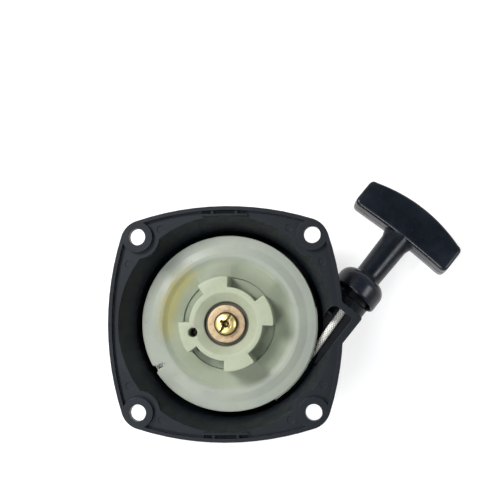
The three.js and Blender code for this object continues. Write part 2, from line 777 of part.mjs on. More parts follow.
function finish(color, roughness, metalness) {
  return new THREE.MeshStandardMaterial({ color, roughness, metalness });
}

const part = new THREE.Group();

const neckLine = new THREE.Group();
neckLine.position.set(foot.x, foot.y, ROPE_Z);
neckLine.rotation.z = NECK_ANGLE;
part.add(neckLine);

const runLine = new THREE.Group();
const leavePoint = polar(LEAVE_R, leaveAngle);
runLine.position.set(leavePoint.x, leavePoint.y, ROPE_Z);
runLine.rotation.z = runAngle;
part.add(runLine);

const handleLine = new THREE.Group();
handleLine.position.x = MOUTH_X;
handleLine.rotation.y = DROOP;
neckLine.add(handleLine);

function place(parent, name, geometry, material) {
  const mesh = new THREE.Mesh(geometry, material);
  mesh.name = name;
  parent.add(mesh);
  return mesh;
}

const blackNylon = finish(0x1c1d1f, 0.5, 0);
const handlePlastic = finish(0x151618, 0.42, 0);
const naturalNylon = finish(0xd9dccb, 0.4, 0);
const ropeFibre = finish(0xd8d6cc, 0.85, 0);
const zincYellow = finish(0xc9a64a, 0.3, 1);
const copperTan = finish(0xb98a5e, 0.4, 1);
const brass = finish(0xb8924a, 0.35, 1);
const springSteel = finish(0x5c6066, 0.35, 1);
const brightSteel = finish(0xb4b7ba, 0.3, 1);

place(part, 'housing', surface(makeHousing()), blackNylon);
place(part, 'spindle_insert', makeInsert(), brass);
place(part, 'centre_screw', makeScrew(), zincYellow);
place(part, 'retaining_washer', makeWasher(), copperTan);
place(part, 'recoil_spring', makeSpring(), springSteel);
place(part, 'rope_reel', makeReel(), naturalNylon);
place(part, 'rope_winding', makeWinding(), ropeFibre);

const knotAt = polar(KNOT_AT.r, KNOT_AT.angle * DEG);
const knotHeight = 4.6;
place(part, 'reel_knot', knot(KNOT_POCKET_R - 0.35, knotHeight), ropeFibre)
  .position.set(knotAt.x, knotAt.y, CAVITY_TOP_Z + 0.5 + knotHeight / 2);

place(neckLine, 'rope_guide_eyelet', makeEyelet(), brightSteel);
place(runLine, 'rope_run', straightRope(GAP, runLength - GAP), ropeFibre);
place(handleLine, 'rope_lead', straightRope(GAP / 2, KNOT_ROOM_X), ropeFibre);
place(handleLine, 'pull_handle', makeHandle(), handlePlastic);
place(handleLine, 'handle_cap', makeHandleCap(), handlePlastic);
const handleKnotLength = 6;
const handleKnot = place(handleLine, 'handle_knot', knot(KNOT_ROOM_R - 0.4, handleKnotLength), ropeFibre);
handleKnot.rotation.y = Math.PI / 2;
handleKnot.position.x = KNOT_ROOM_X + GAP + handleKnotLength / 2;

export default part;
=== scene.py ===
"""Recoil starter of a small two-stroke engine, seen from the side that bolts to the engine."""

import json
import math
import bmesh
import bpy
from mathutils import Matrix, Vector


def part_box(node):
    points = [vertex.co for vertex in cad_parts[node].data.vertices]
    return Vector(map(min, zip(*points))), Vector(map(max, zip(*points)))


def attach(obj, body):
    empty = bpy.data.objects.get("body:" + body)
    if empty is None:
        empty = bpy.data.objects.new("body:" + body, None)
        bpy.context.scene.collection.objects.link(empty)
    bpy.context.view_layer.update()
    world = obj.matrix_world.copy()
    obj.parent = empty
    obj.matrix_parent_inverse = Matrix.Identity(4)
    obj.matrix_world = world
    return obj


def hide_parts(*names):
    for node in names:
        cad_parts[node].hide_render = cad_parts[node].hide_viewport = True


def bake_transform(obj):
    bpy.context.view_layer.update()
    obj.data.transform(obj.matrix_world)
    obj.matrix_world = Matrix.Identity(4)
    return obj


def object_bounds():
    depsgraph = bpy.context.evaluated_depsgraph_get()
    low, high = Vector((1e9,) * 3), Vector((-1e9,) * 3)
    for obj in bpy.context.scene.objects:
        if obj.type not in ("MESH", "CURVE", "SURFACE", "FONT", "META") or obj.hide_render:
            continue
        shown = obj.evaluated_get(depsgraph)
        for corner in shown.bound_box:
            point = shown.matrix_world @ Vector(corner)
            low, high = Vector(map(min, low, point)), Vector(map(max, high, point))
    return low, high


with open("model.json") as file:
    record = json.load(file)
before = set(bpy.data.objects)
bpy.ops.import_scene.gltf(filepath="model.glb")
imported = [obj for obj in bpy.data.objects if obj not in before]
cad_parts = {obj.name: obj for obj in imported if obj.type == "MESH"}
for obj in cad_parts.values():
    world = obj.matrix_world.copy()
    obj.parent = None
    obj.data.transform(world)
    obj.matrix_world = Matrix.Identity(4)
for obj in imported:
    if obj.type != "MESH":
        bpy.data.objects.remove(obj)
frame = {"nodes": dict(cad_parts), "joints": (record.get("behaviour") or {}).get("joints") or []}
CAD_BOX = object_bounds()
MM = 0.001
TAU = 2 * math.pi

# ---------- places, in millimetres, taken from the frame ----------


def box_mm(node):
    low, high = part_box(node)
    return Vector(low) / MM, Vector(high) / MM


REEL_LOW, REEL_HIGH = box_mm("rope_reel")
SCREW_LOW, SCREW_HIGH = box_mm("centre_screw")
WASHER_LOW, WASHER_HIGH = box_mm("retaining_washer")
WINDING_LOW, WINDING_HIGH = box_mm("rope_winding")

PULL_AXIS = next(Vector(j["axis"]) for j in frame["joints"] if j["name"] == "handle_pull")
NECK_ANGLE = math.atan2(PULL_AXIS.y, PULL_AXIS.x)
NECK_OFFSET = 31.45  # from the reel's axis to the neck's
MOUTH_X = 44.8  # along the neck, where the rope bends towards the handle
DROOP = math.radians(12.5)  # how far the handle hangs below the neck's line
ROPE_Z = (WINDING_LOW.z + WINDING_HIGH.z) / 2 - 0.02
ROPE_R = 1.35
LEAVE_R = 33.5  # where the rope runs off the reel

# Reel, as radii
REEL_R = 34.9
GROOVE_R = 26.7
CAVITY_R = 25.2
LUG_R = 18.6
HUB_R = 14.4
SOCKET_R = 8.5  # the hub's hollow round the washer
SPINDLE_HOLE_R = 6.3
KNOT_R, KNOT_ANGLE = 13.25, math.radians(194)
NOTCH_ANGLE = math.radians(211)
STAIN_ANGLE = math.radians(158)

# Neck frame: X along the neck away from the housing, Z up. Handle frame: X along the handle's stem.
NECK = Matrix.Rotation(NECK_ANGLE, 4, "Z") @ Matrix.Translation((0, -NECK_OFFSET, 0))
NECK = Matrix.Translation((0, 0, ROPE_Z)) @ NECK
HANDLE = NECK @ Matrix.Translation((MOUTH_X, 0, 0)) @ Matrix.Rotation(DROOP, 4, "Y")
TO_METRES = Matrix.Scale(MM, 4)


def polar(r, angle, z=0.0):
    return Vector((r * math.cos(angle), r * math.sin(angle), z))


# ---------- mesh helpers ----------


def new_object(name, bm):
    """Turns a bmesh into a linked object."""
    bmesh.ops.recalc_face_normals(bm, faces=bm.faces)
    mesh = bpy.data.meshes.new(name)
    bm.to_mesh(mesh)
    bm.free()
    obj = bpy.data.objects.new(name, mesh)
    bpy.context.scene.collection.objects.link(obj)
    return obj


def rounded(corners, steps=4):
    """Corners (x, y, radius) as the points of a closed outline with its corners rounded."""
    points = []
    for i, (x, y, r) in enumerate(corners):
        corner = Vector((x, y))
        if not r:
            points.append(corner)
            continue
        back = Vector(corners[i - 1][:2]) - corner
        on = Vector(corners[(i + 1) % len(corners)][:2]) - corner
        reach = r / math.tan(back.angle(on) / 2)
        start = corner + back.normalized() * min(reach, back.length * 0.48)
        end = corner + on.normalized() * min(reach, on.length * 0.48)
        for k in range(steps + 1):
            t = k / steps
            points.append(start * (1 - t) ** 2 + corner * 2 * t * (1 - t) + end * t * t)
    return points


def arc(r, start, end, steps, centre=(0, 0)):
    """Points of an arc about centre, angles in degrees."""
    angles = [math.radians(start + (end - start) * k / steps) for k in range(steps + 1)]
    return [Vector((centre[0] + r * math.cos(a), centre[1] + r * math.sin(a))) for a in angles]


def turned(name, profile, segments=160, place=Matrix.Identity(4), along_x=False):
    """A closed profile of (radius, height) turned round Z, or of (radius, x) round X."""
    bm = bmesh.new()
    turn = Matrix.Rotation(math.pi / 2, 4, "Y") if along_x else Matrix.Identity(4)
    to_world = TO_METRES @ place @ turn
    rings = []
    for r, z in profile:
        if r < 1e-6:
            rings.append([bm.verts.new(to_world @ Vector((0, 0, z)))] * segments)
            continue
        ring = [bm.verts.new(to_world @ polar(r, TAU * i / segments, z)) for i in range(segments)]
        rings.append(ring)
    closed = profile[0][0] > 1e-6
    for k in range(len(rings) if closed else len(rings) - 1):
        a, b = rings[k], rings[(k + 1) % len(rings)]
        for i in range(segments):
            j = (i + 1) % segments
            corners = list(dict.fromkeys((a[i], a[j], b[j], b[i])))
            if len(corners) > 2:
                bm.faces.new(corners)
    return new_object(name, bm)


def lofted(name, rings, place=Matrix.Identity(4)):
    """Skins rings of points, in millimetres, and closes both ends."""
    bm = bmesh.new()
    rows = [[bm.verts.new(TO_METRES @ place @ Vector(p)) for p in ring] for ring in rings]
    count = len(rows[0])
    for a, b in zip(rows, rows[1:]):
        for i in range(count):
            j = (i + 1) % count
            bm.faces.new((a[i], a[j], b[j], b[i]))
    bm.faces.new(rows[0][::-1])
    bm.faces.new(rows[-1])
    return new_object(name, bm)


def prism(name, outline, low, high, edge=0.0, place=Matrix.Identity(4), steps=3):
    """A flat outline pulled up from low to high. edge rounds the rim of the upper face."""
    rings = [[(p.x, p.y, low) for p in outline]]
    if not edge:
        rings.append([(p.x, p.y, high) for p in outline])
        return lofted(name, rings, place)
    for k in range(steps + 1):
        a = math.pi / 2 * k / steps
        inner = inset_outline(outline, edge * (1 - math.cos(a)))
        rings.append([(p.x, p.y, high - edge + edge * math.sin(a)) for p in inner])
    return lofted(name, rings, place)


def inset_outline(outline, distance):
    """The outline, counter-clockwise, moved inwards along its corners' normals."""
    moved = []
    for i, p in enumerate(outline):
        along = (outline[(i + 1) % len(outline)] - outline[i - 1]).normalized()
        moved.append(p + Vector((-along.y, along.x)) * distance)
    return moved


def block(name, low, high, place=Matrix.Identity(4)):
    (x0, y0, z0), (x1, y1, z1) = low, high
    ring = [(x0, y0), (x1, y0), (x1, y1), (x0, y1)]
    return lofted(name, [[(x, y, z) for x, y in ring] for z in (z0, z1)], place)


def apply_modifiers(obj):
    graph = bpy.context.evaluated_depsgraph_get()
    mesh = bpy.data.meshes.new_from_object(obj.evaluated_get(graph))
    obj.modifiers.clear()
    old, obj.data = obj.data, mesh
    bpy.data.meshes.remove(old)


def combine(target, others, operation):
    for other in others:
        step = target.modifiers.new("combine", "BOOLEAN")
        step.solver = "MANIFOLD"
        step.operation = operation
        step.object = other
    apply_modifiers(target)
    for other in others:
        bpy.data.objects.remove(other)
    return target


def cut(target, *tools):
    return combine(target, tools, "DIFFERENCE")


def join(target, *others):
    return combine(target, others, "UNION")


def soften(obj, width, segments=2, angle=32):
    """Rounds the sharp edges by width, in millimetres."""
    bm = bmesh.new()
    bm.from_mesh(obj.data)
    bmesh.ops.remove_doubles(bm, verts=bm.verts, dist=0.02 * MM)
    bmesh.ops.dissolve_degenerate(bm, edges=bm.edges, dist=0.01 * MM)
    bm.to_mesh(obj.data)
    bm.free()
    bevel = obj.modifiers.new("soften", "BEVEL")
    bevel.width = width * MM
    bevel.segments = segments
    bevel.limit_method = "ANGLE"
    bevel.angle_limit = math.radians(angle)
    bevel.use_clamp_overlap = False
    bevel.miter_outer = "MITER_ARC"
    apply_modifiers(obj)


def shade(obj, angle=38):
    mesh = obj.data
    mesh.polygons.foreach_set("use_smooth", [True] * len(mesh.polygons))
    mesh.set_sharp_from_angle(angle=math.radians(angle))


# ---------- material helpers ----------


class Look:
    """A node material: constants go on the shader's own sockets, detail comes through links."""

    def __init__(self, name, colour, roughness, metallic=0.0, **sockets):
        self.material = bpy.data.materials.new(name)
        self.material.use_nodes = True
        self.tree = self.material.node_tree
        self.shader = self.tree.nodes["Principled BSDF"]
        self.colour = colour
        self.set(self.shader, "Base Color", (*colour, 1))
        self.set(self.shader, "Roughness", roughness)
        self.set(self.shader, "Metallic", metallic)
        for socket, value in sockets.items():
            self.set(self.shader, socket.replace("_", " "), value)
        self.place = self.tree.nodes.new("ShaderNodeTexCoord").outputs["Object"]
        self.normal = None

    def set(self, node, socket, value):
        if isinstance(value, bpy.types.NodeSocket):
            self.tree.links.new(value, node.inputs[socket])
        else:
            node.inputs[socket].default_value = value

    def node(self, kind, *inputs, out=0, **options):
        """Adds a node. Positional inputs fill its sockets in order, None leaving one alone."""
        node = self.tree.nodes.new("ShaderNode" + kind)
        named = {}
        for key, value in options.items():
            if hasattr(node, key):
                setattr(node, key, value)
            else:
                named[key.replace("_", " ")] = value
        for i, value in enumerate(inputs):
            if value is not None:
                self.set(node, i, value)
        for key, value in named.items():
            self.set(node, key, value)
        return node.outputs[out]

    def math(self, operation, *inputs):
        return self.node("Math", *inputs, operation=operation)

    def ramp(self, value, low, high, to_low=0.0, to_high=1.0):
        """Maps value from low..high to to_low..to_high with soft ends."""
        return self.node("MapRange", value, low, high, to_low, to_high, interpolation_type="SMOOTHSTEP")

    def noise(self, size_mm, detail=3.0, place=None, stretch=None):
        """Noise with features of about size_mm, from 0 to 1."""
        vector = place or self.place
        if stretch:
            vector = self.node("Mapping", vector, Scale=stretch)
        return self.node("TexNoise", Vector=vector, Scale=1 / (size_mm * MM), Detail=detail)

    def mix(self, factor, a, b):
        """Mixes two colours."""
        node = self.tree.nodes.new("ShaderNodeMix")
        node.data_type = "RGBA"
        self.set(node, 0, factor)
        self.set(node, 6, a if isinstance(a, bpy.types.NodeSocket) else (*a, 1))
        self.set(node, 7, b if isinstance(b, bpy.types.NodeSocket) else (*b, 1))
        return node.outputs[2]

    def bump(self, height, depth_mm, strength=1.0):
        values = {"Height": height, "Distance": depth_mm * MM, "Strength": strength}
        if self.normal is not None:
            values["Normal"] = self.normal
        self.normal = self.node("Bump", **values)
        self.set(self.shader, "Normal", self.normal)

    def soft_edges(self, radius_mm):
        """Rounds the edges' shading, and returns a mask of where the edges are."""
        self.normal = self.node("Bevel", radius_mm * MM, samples=6)
        flat = self.node("NewGeometry", out=1)
        close = self.node("VectorMath", flat, self.normal, operation="DOT_PRODUCT", out=1)
        self.set(self.shader, "Normal", self.normal)
        return self.ramp(close, 0.995, 0.80)

    def base(self, colour):
        self.set(self.shader, "Base Color", colour)

    def rough(self, value):
        self.set(self.shader, "Roughness", value)


def dress(obj, look):
    obj.data.materials.clear()
    obj.data.materials.append(look.material)


# ---------- materials ----------


def moulded_black(name, colour, wear_and_edge_highlight, roughness, specular):
    """Black moulded plastic: fine grain, faint flow marks, a painted highlight along the edges and a little
    dust.
    """
    look = Look(name, colour, roughness, Specular_IOR_Level=specular)
    edges = look.soft_edges(0.3)
    flow = look.noise(24, 4, stretch=(1, 1, 2.5))
    cloud = look.noise(7, 5)
    tone = look.mix(look.ramp(cloud, 0.3, 0.7), [c * 0.82 for c in colour], [c * 1.2 for c in colour])
    tone = look.mix(look.ramp(flow, 0.45, 0.75, 0, 0.2), tone, wear_and_edge_highlight)
    specks = look.ramp(look.noise(0.9, 2), 0.68, 0.8, 0, 0.3)
    tone = look.mix(specks, tone, wear_and_edge_highlight)
    # Painted highlight: the edges are mixed towards the lighter colour.
    look.base(look.mix(look.math("MULTIPLY", edges, 0.35), tone, wear_and_edge_highlight))
    patches = look.ramp(look.noise(4, 4), 0.3, 0.75, roughness - 0.03, roughness + 0.07)
    look.rough(look.math("SUBTRACT", patches, look.math("MULTIPLY", edges, 0.08)))
    look.bump(look.noise(0.35, 3), 0.012, 0.6)
    look.bump(look.noise(4, 3), 0.02, 0.25)
    return look


def grease_stain(look, flat, radius):
    """Mask of a streaky stain along the dish's rim, round STAIN_ANGLE."""
    around = look.node("VectorMath", flat, operation="NORMALIZE")
    towards = look.node("VectorMath", around, polar(1, STAIN_ANGLE), operation="DOT_PRODUCT", out=1)
    side = look.ramp(towards, math.cos(math.radians(44)), math.cos(math.radians(14)))
    wobble = look.math("MULTIPLY_ADD", look.noise(5, 3), 2.2 * MM, radius)
    off = look.math("ABSOLUTE", look.math("SUBTRACT", wobble, (CAVITY_R + 0.9) * MM))
    narrow = look.ramp(off, 0.95 * MM, 0.1 * MM)
    broad = look.ramp(off, 6.0 * MM, 0.5 * MM, 0, 0.85)
    streaks = look.ramp(look.noise(1.6, 4), 0.25, 0.7, 0.35, 1)
    spread = look.math("MULTIPLY", streaks, look.math("MAXIMUM", narrow, broad))
    return look.math("MULTIPLY", side, spread)


def natural_nylon():
    """Unpigmented nylon: waxy, a little green, with a yellow grease stain at one side of the dish."""
    pale, green, cool = (0.31, 0.34, 0.235), (0.195, 0.23, 0.155), (0.255, 0.28, 0.24)
    look = Look("natural_nylon", pale, 0.38, Subsurface_Weight=0.18, Subsurface_Scale=0.002)
    look.set(look.shader, "Subsurface Radius", (1.0, 1.0, 0.7))
    edges = look.soft_edges(0.2)
    x, y, z = (look.node("SeparateXYZ", look.place, out=i) for i in range(3))
    flat = look.node("CombineXYZ", x, y, 0.0)
    radius = look.node("VectorMath", flat, operation="LENGTH", out=1)

    # Green in the dish, cooler on the flange, paler towards the top of the hub: partly tint, partly painted
    # shade.
    tone = look.mix(look.ramp(radius, 24.5 * MM, 27 * MM), green, cool)
    dish_z, hub_z = REEL_LOW.z + 16.6, REEL_HIGH.z - 1.5
    # Painted shade: the hub darker low down, paler towards its top.
    tone = look.mix(look.ramp(z, dish_z * MM, hub_z * MM), tone, pale)
    tone = look.mix(look.ramp(look.noise(14, 4), 0.3, 0.75, 0, 0.45), tone, (0.30, 0.315, 0.24))
    tone = look.mix(look.ramp(look.noise(3, 5), 0.5, 0.8, 0, 0.2), tone, (0.17, 0.20, 0.13))
    stain = grease_stain(look, flat, radius)
    tone = look.mix(look.math("MULTIPLY", stain, 0.95), tone, (0.29, 0.245, 0.03))
    # Painted highlight: a pale line along the edges.
    tone = look.mix(look.math("MULTIPLY", edges, 0.6), tone, (0.52, 0.53, 0.48))

    # Specks of dirt, and painted shade: near-black in the gap round the washer.
    dirt = look.ramp(look.noise(1.1, 2), 0.73, 0.8, 0, 0.5)
    near_washer = look.ramp(radius, (SOCKET_R + 0.6) * MM, SOCKET_R * MM)
    below_top = look.ramp(z, (REEL_HIGH.z - 1.3) * MM, (REEL_HIGH.z - 2.3) * MM)
    washer_gap_shade = look.math("MULTIPLY", look.math("MULTIPLY", near_washer, below_top), 0.95)
    look.base(look.mix(look.math("MAXIMUM", dirt, washer_gap_shade), tone, (0.05, 0.05, 0.035)))
    look.rough(look.ramp(look.noise(6, 4), 0.3, 0.8, 0.44, 0.6))
    look.bump(look.noise(0.5, 3), 0.01, 0.5)
    look.bump(look.noise(5, 3), 0.05, 0.35)
    return look


def braid_height(look, across, along, pitch_mm, carriers):
    """How high the braid's strands stand, 0 to 1, from turns round the rope and metres along it."""
    turns = look.math("MULTIPLY", across, carriers * TAU)
    travel = look.math("MULTIPLY", along, TAU * carriers / (pitch_mm * MM))
    left = look.math("ADD", turns, travel)
    right = look.math("SUBTRACT", turns, travel)
    strand_a = look.math("ABSOLUTE", look.math("COSINE", look.math("MULTIPLY", left, 0.5)))
    strand_b = look.math("ABSOLUTE", look.math("COSINE", look.math("MULTIPLY", right, 0.5)))
    weave = look.math("MULTIPLY", look.math("COSINE", turns), 0.22)
    return look.math("MAXIMUM", look.math("ADD", strand_a, weave), look.math("SUBTRACT", strand_b, weave))


BRAID_PITCH = 12.0  # length of one turn of a strand, in millimetres
BRAID_CARRIERS = 8  # strands each way


def rope_fibre():
    """Braided white cord: strands cross both ways, with fine filaments and painted shade in the grey gaps
    between them.
    """
    bright, strand_gap_shade = (0.86, 0.84, 0.77), (0.22, 0.21, 0.185)
    look = Look("rope_fibre", bright, 0.8, Sheen_Weight=0.25, Sheen_Roughness=0.5)
    uv = look.node("UVMap", uv_map="along")
    across, along = (look.node("SeparateXYZ", uv, out=i) for i in range(2))
    height = braid_height(look, across, along, BRAID_PITCH, BRAID_CARRIERS)
    filaments = look.noise(0.28, 2)
    # Painted shade: the gaps between strands darker.
    tone = look.mix(look.ramp(height, 0.45, 0.95), strand_gap_shade, bright)
    tone = look.mix(look.ramp(filaments, 0.5, 0.75, 0, 0.3), tone, (0.60, 0.58, 0.52))
    look.base(look.mix(look.ramp(look.noise(9, 3), 0.45, 0.75, 0, 0.3), tone, (0.70, 0.68, 0.60)))
    look.bump(height, 0.16, 0.8)
    look.bump(filaments, 0.03, 0.6)
    return look


def plated(name, colour, dull, roughness, scratch=1.0, recess_shade_below=None):
    """Plated steel: worn patches, fine scratches, a slightly uneven surface, a painted highlight on the
    edges, and painted shade in a recess.
    """
    look = Look(name, colour, roughness, metallic=1.0)
    edges = look.soft_edges(0.12)
    patches = look.ramp(look.noise(1.8, 4), 0.4, 0.7)
    tone = look.mix(patches, colour, dull)
    tone = look.mix(look.ramp(look.noise(0.35, 3), 0.62, 0.8, 0, 0.35), tone, [c * 0.6 for c in dull])
    # Painted highlight: the edges lighter than the plating.
    tone = look.mix(look.math("MULTIPLY", edges, 0.5), tone, [min(1, c * 1.35) for c in colour])
    # Painted shade: darker below a depth, in the cross recess.
    if recess_shade_below:
        z = look.node("SeparateXYZ", look.place, out=2)
        recess_shade = look.ramp(z, recess_shade_below * MM, (recess_shade_below - 0.5) * MM, 0, 0.92)
        tone = look.mix(recess_shade, tone, (0.035, 0.028, 0.014))
    look.base(tone)
    look.rough(look.ramp(look.noise(0.9, 4), 0.3, 0.75, roughness - 0.06, roughness + 0.12))
    lines = look.noise(0.5, 3, stretch=(8, 0.7, 1))
    look.bump(lines, 0.006, 0.5 * scratch)
    look.bump(look.noise(0.8, 3), 0.012, 0.6 * scratch)
    return look


housing_look = moulded_black("black_nylon", (0.002, 0.0042, 0.0072), (0.028, 0.040, 0.054), 0.42, 0.22)
handle_look = moulded_black("handle_plastic", (0.004, 0.0058, 0.0095), (0.040, 0.047, 0.062), 0.25, 0.27)
nylon_look = natural_nylon()
rope_look = rope_fibre()
screw_look = plated("yellow_zinc", (0.88, 0.69, 0.29), (0.76, 0.58, 0.23), 0.36, 0.5, SCREW_HIGH.z - 0.45)
washer_look = plated("copper_tan", (0.40, 0.30, 0.19), (0.32, 0.24, 0.15), 0.5, 0.5)
brass_look = plated("turned_brass", (0.62, 0.45, 0.19), (0.45, 0.32, 0.14), 0.32)
spring_look = plated("spring_steel", (0.16, 0.17, 0.20), (0.09, 0.10, 0.13), 0.35)
steel_look = plated("bright_steel", (0.52, 0.53, 0.55), (0.36, 0.37, 0.38), 0.3)


# ---------- reel ----------


def sector(inner, outer, start, end, corner=0.0, steps=14):
    """Outline of part of a ring, counter-clockwise, with its outer corners rounded."""
    if not corner:
        return arc(outer, start, end, steps) + arc(inner, end, start, steps)
    trim = math.degrees(corner / outer)
    near, far = arc(outer, start, end, 1)
    near_in, far_in = arc(outer - corner, start, end, 1)
    rim = arc(outer, start + trim, end - trim, steps)
    points = quarter(near, near_in, rim[0])[:-1] + rim + quarter(far, rim[-1], far_in)[1:]
    return points + arc(inner, end, start, steps)


def quarter(corner, start, end, steps=3):
    start, end = Vector(start), Vector(end)
    return [start * (1 - t) ** 2 + corner * 2 * t * (1 - t) + end * t * t
            for t in (k / steps for k in range(steps + 1))]


def make_reel():
    """The rope reel: a groove between two flanges, a dish, and a hub with four lugs."""
    bottom, top = REEL_LOW.z, REEL_HIGH.z
    cavity_top = bottom + 8.4
    low_flange, groove_low = bottom + 5.9, bottom + 7.5
    groove_high, flange_top = bottom + 13.8, bottom + 15.6
    dish, lip, shoulder = bottom + 15.65, bottom + 16.6, top - 3.7
    profile = rounded([
        (SPINDLE_HOLE_R, cavity_top, 0.2),
        (CAVITY_R, cavity_top, 0.4),
        (CAVITY_R, bottom, 0.3),
        (GROOVE_R, bottom, 0.3),
        (GROOVE_R, low_flange, 0.3),
        (REEL_R, low_flange, 0.3),
        (REEL_R, groove_low, 0.5),
        (GROOVE_R, groove_low, 0.6),
        (GROOVE_R, groove_high, 0.6),
        (REEL_R, groove_high, 0.5),
        (REEL_R, flange_top, 0.35),
        (31.2, flange_top - 0.03, 3.2),
        (28.0, lip - 0.25, 1.8),
        (26.7, lip - 0.35, 0.9),
        (25.5, dish + 0.1, 0.7),
        (24.6, dish - 0.1, 0.4),
        (LUG_R - 0.3, dish - 0.15, 0.25),
        (LUG_R - 0.5, dish - 1, 0.15),
        (HUB_R, dish - 1, 0.5),
        (HUB_R, top, 0.45),
        (12.3, top, 1.3),
        (SOCKET_R, top - 2.5, 0.9),
        (SOCKET_R, shoulder, 0.4),
        (SPINDLE_HOLE_R, shoulder, 0.3),
    ])
    reel = turned("reel", profile, 216)
    lug_degrees, lug_start = 40, -3
    lugs = []
    for i in range(4):
        start = 90 * i + lug_start
        outline = sector(HUB_R - 1.6, LUG_R, start, start + lug_degrees, 0.7)
        lugs.append(prism(f"lug_{i}", outline, dish - 2, top, 0.4))
    wide_outline = sector(REEL_R - 1.2, REEL_R + 0.38, -59, 10, 0.3)
    wide = prism("wide", wide_outline, groove_high + 0.02, flange_top - 0.3)
    join(reel, *lugs, wide)

    start = bottom + 7  # inside the cavity, below the plate that the holes go through
    at_knot = Matrix.Translation(polar(KNOT_R, KNOT_ANGLE))
    hole_r, rim_r = 1.8, 2.1
    hole_profile = [(0, start), (hole_r, start), (hole_r, top - 0.3), (rim_r, top + 0.1), (rim_r, top + 1),
                    (0, top + 1)]
    knot_hole = turned("hole", hole_profile, 40, at_knot)
    pocket_top = bottom + 14.9
    pocket = turned("pocket", [(0, start), (2.9, start), (2.9, pocket_top), (0, pocket_top)], 40, at_knot)
    at_mark = Matrix.Translation(polar(15.5, math.radians(219)))
    mark = turned("mark", [(0, dish - 2.6), (1, dish - 2.6), (1, dish + 1), (0, dish + 1)], 24, at_mark)
    cut(reel, knot_hole, pocket, mark, make_notch(groove_high, flange_top))
    soften(reel, 0.16)
    shade(reel, 40)
    return reel


def make_notch(low, high):
    """Slot in the upper flange that the rope can be lifted through, with a flared mouth."""
    half, mouth = 0.85, 1.75
    bottom = REEL_R - 4.4 + half
    side = quarter(Vector((REEL_R - 0.8, half)), (REEL_R - 1.9, half), (REEL_R + 0.1, mouth), 5)
    upper = side + [Vector((REEL_R + 1.5, mouth + 0.9))]
    lower = [Vector((p.x, -p.y)) for p in reversed(upper)]
    outline = lower + arc(half, -90, -270, 10, (bottom, 0)) + upper
    outline = outline[::-1] if signed_area(outline) < 0 else outline
    turn = Matrix.Rotation(NOTCH_ANGLE, 4, "Z")
    return prism("notch", outline, low - 0.5, high + 1, place=turn)


def signed_area(outline):
    return sum(a.x * b.y - b.x * a.y for a, b in zip(outline, outline[1:] + outline[:1])) / 2


# ---------- screw, washer and the hidden metal pieces ----------


def make_screw():
    """Pan-head screw with a cross in its slot."""
    top, seat, tip = SCREW_HIGH.z, SCREW_HIGH.z - 2.7, SCREW_LOW.z
    head, shank = 4.65, 2.15
    dome = [(head - 0.05, seat + 1.15), (head - 0.32, seat + 1.75), (head - 0.95, seat + 2.25),
            (head - 1.9, seat + 2.53), (head - 3.0, top - 0.05), (0, top)]
    profile = [(0, tip), (shank - 0.6, tip), (shank, tip + 0.8), (shank, seat), (head - 0.15, seat),
               (head, seat + 0.15), *dome]
    screw = turned("screw", profile, 96)
    turn = Matrix.Rotation(math.radians(58), 4, "Z")
    slot = block("slot", (-head - 1, -0.5, top - 0.95), (head + 1, 0.5, top + 1), turn)
    wing_low, wing_high = (-2.25, -0.55, top - 1.15), (2.25, 0.55, top + 1)
    wings = [block(f"wing_{i}", wing_low, wing_high, turn @ Matrix.Rotation(i * math.pi / 2, 4, "Z"))
             for i in range(2)]
    core_profile = [(0, top - 2.2), (0.8, top - 1.9), (1.5, top - 0.4), (1.5, top + 1), (0, top + 1)]
    cut(screw, slot, *wings, turned("core", core_profile, 24))
    soften(screw, 0.1)
    shade(screw, 35)
    return screw


def make_washer():
    low, high = WASHER_LOW.z, WASHER_HIGH.z
    outer = WASHER_HIGH.x
    washer = turned("washer", rounded([
        (2.7, low, 0.1), (outer, low, 0.15), (outer, high, 0.3), (2.7, high, 0.15)]), 128)
    shade(washer, 50)
    return washer


# ---------- rope ----------


def braid_ring(centre, along, up, travelled, sides, relief):
    """One ring of points round the rope, with its strands standing proud by relief."""
    side = along.cross(up).normalized()
    over = side.cross(along).normalized()
    ring = []
    for i in range(sides):
        a = TAU * i / sides
        turns = BRAID_CARRIERS * a
        travel = TAU * BRAID_CARRIERS * travelled / BRAID_PITCH
        weave = 0.22 * math.cos(turns)
        one_way = abs(math.cos((turns + travel) / 2)) + weave
        other_way = abs(math.cos((turns - travel) / 2)) - weave
        height = max(one_way, other_way)
        r = ROPE_R - relief * (1.1 - height)
        ring.append(centre + side * (r * math.cos(a)) + over * (r * math.sin(a)))
    return ring


def make_rope(name, path, sides, relief, travelled_by=None):
    """Rope along a path of points in millimetres. travelled_by gives each point's place in the braid."""
    up = Vector((0, 0, 1))
    travelled = [0.0]
    for a, b in zip(path, path[1:]):
        travelled.append(travelled[-1] + (b - a).length)
    travelled = travelled_by or travelled
    rings = []
    for i, centre in enumerate(path):
        along = (path[min(i + 1, len(path) - 1)] - path[max(i - 1, 0)]).normalized()
        rings.append(braid_ring(centre, along, up, travelled[i], sides, relief))
    rope = lofted(name, rings)
    layer = rope.data.uv_layers.new(name="along")
    for face in rope.data.polygons:
        columns = [rope.data.loops[i].vertex_index % sides for i in face.loop_indices]
        wraps = max(columns) - min(columns) > sides / 2
        for i, column in zip(face.loop_indices, columns):
            row = rope.data.loops[i].vertex_index // sides
            turn = column + sides if wraps and column < sides / 2 else column
            layer.data[i].uv = (turn / sides, travelled[row] * MM)
    shade(rope, 60)
    return rope


def straight(start, end, step):
    count = max(2, round((end - start).length / step))
    return [start.lerp(end, i / count) for i in range(count + 1)]


def smooth(t):
    t = min(max(t, 0), 1)
    return t * t * (3 - 2 * t)


COLUMN_Z = 1.5
LAYERS = (28.35, 31.15, 33.95)
mouth = (NECK @ Vector((MOUTH_X, 0, 0))).xy
leave_angle = math.atan2(mouth.y, mouth.x) - math.acos(LEAVE_R / mouth.length)


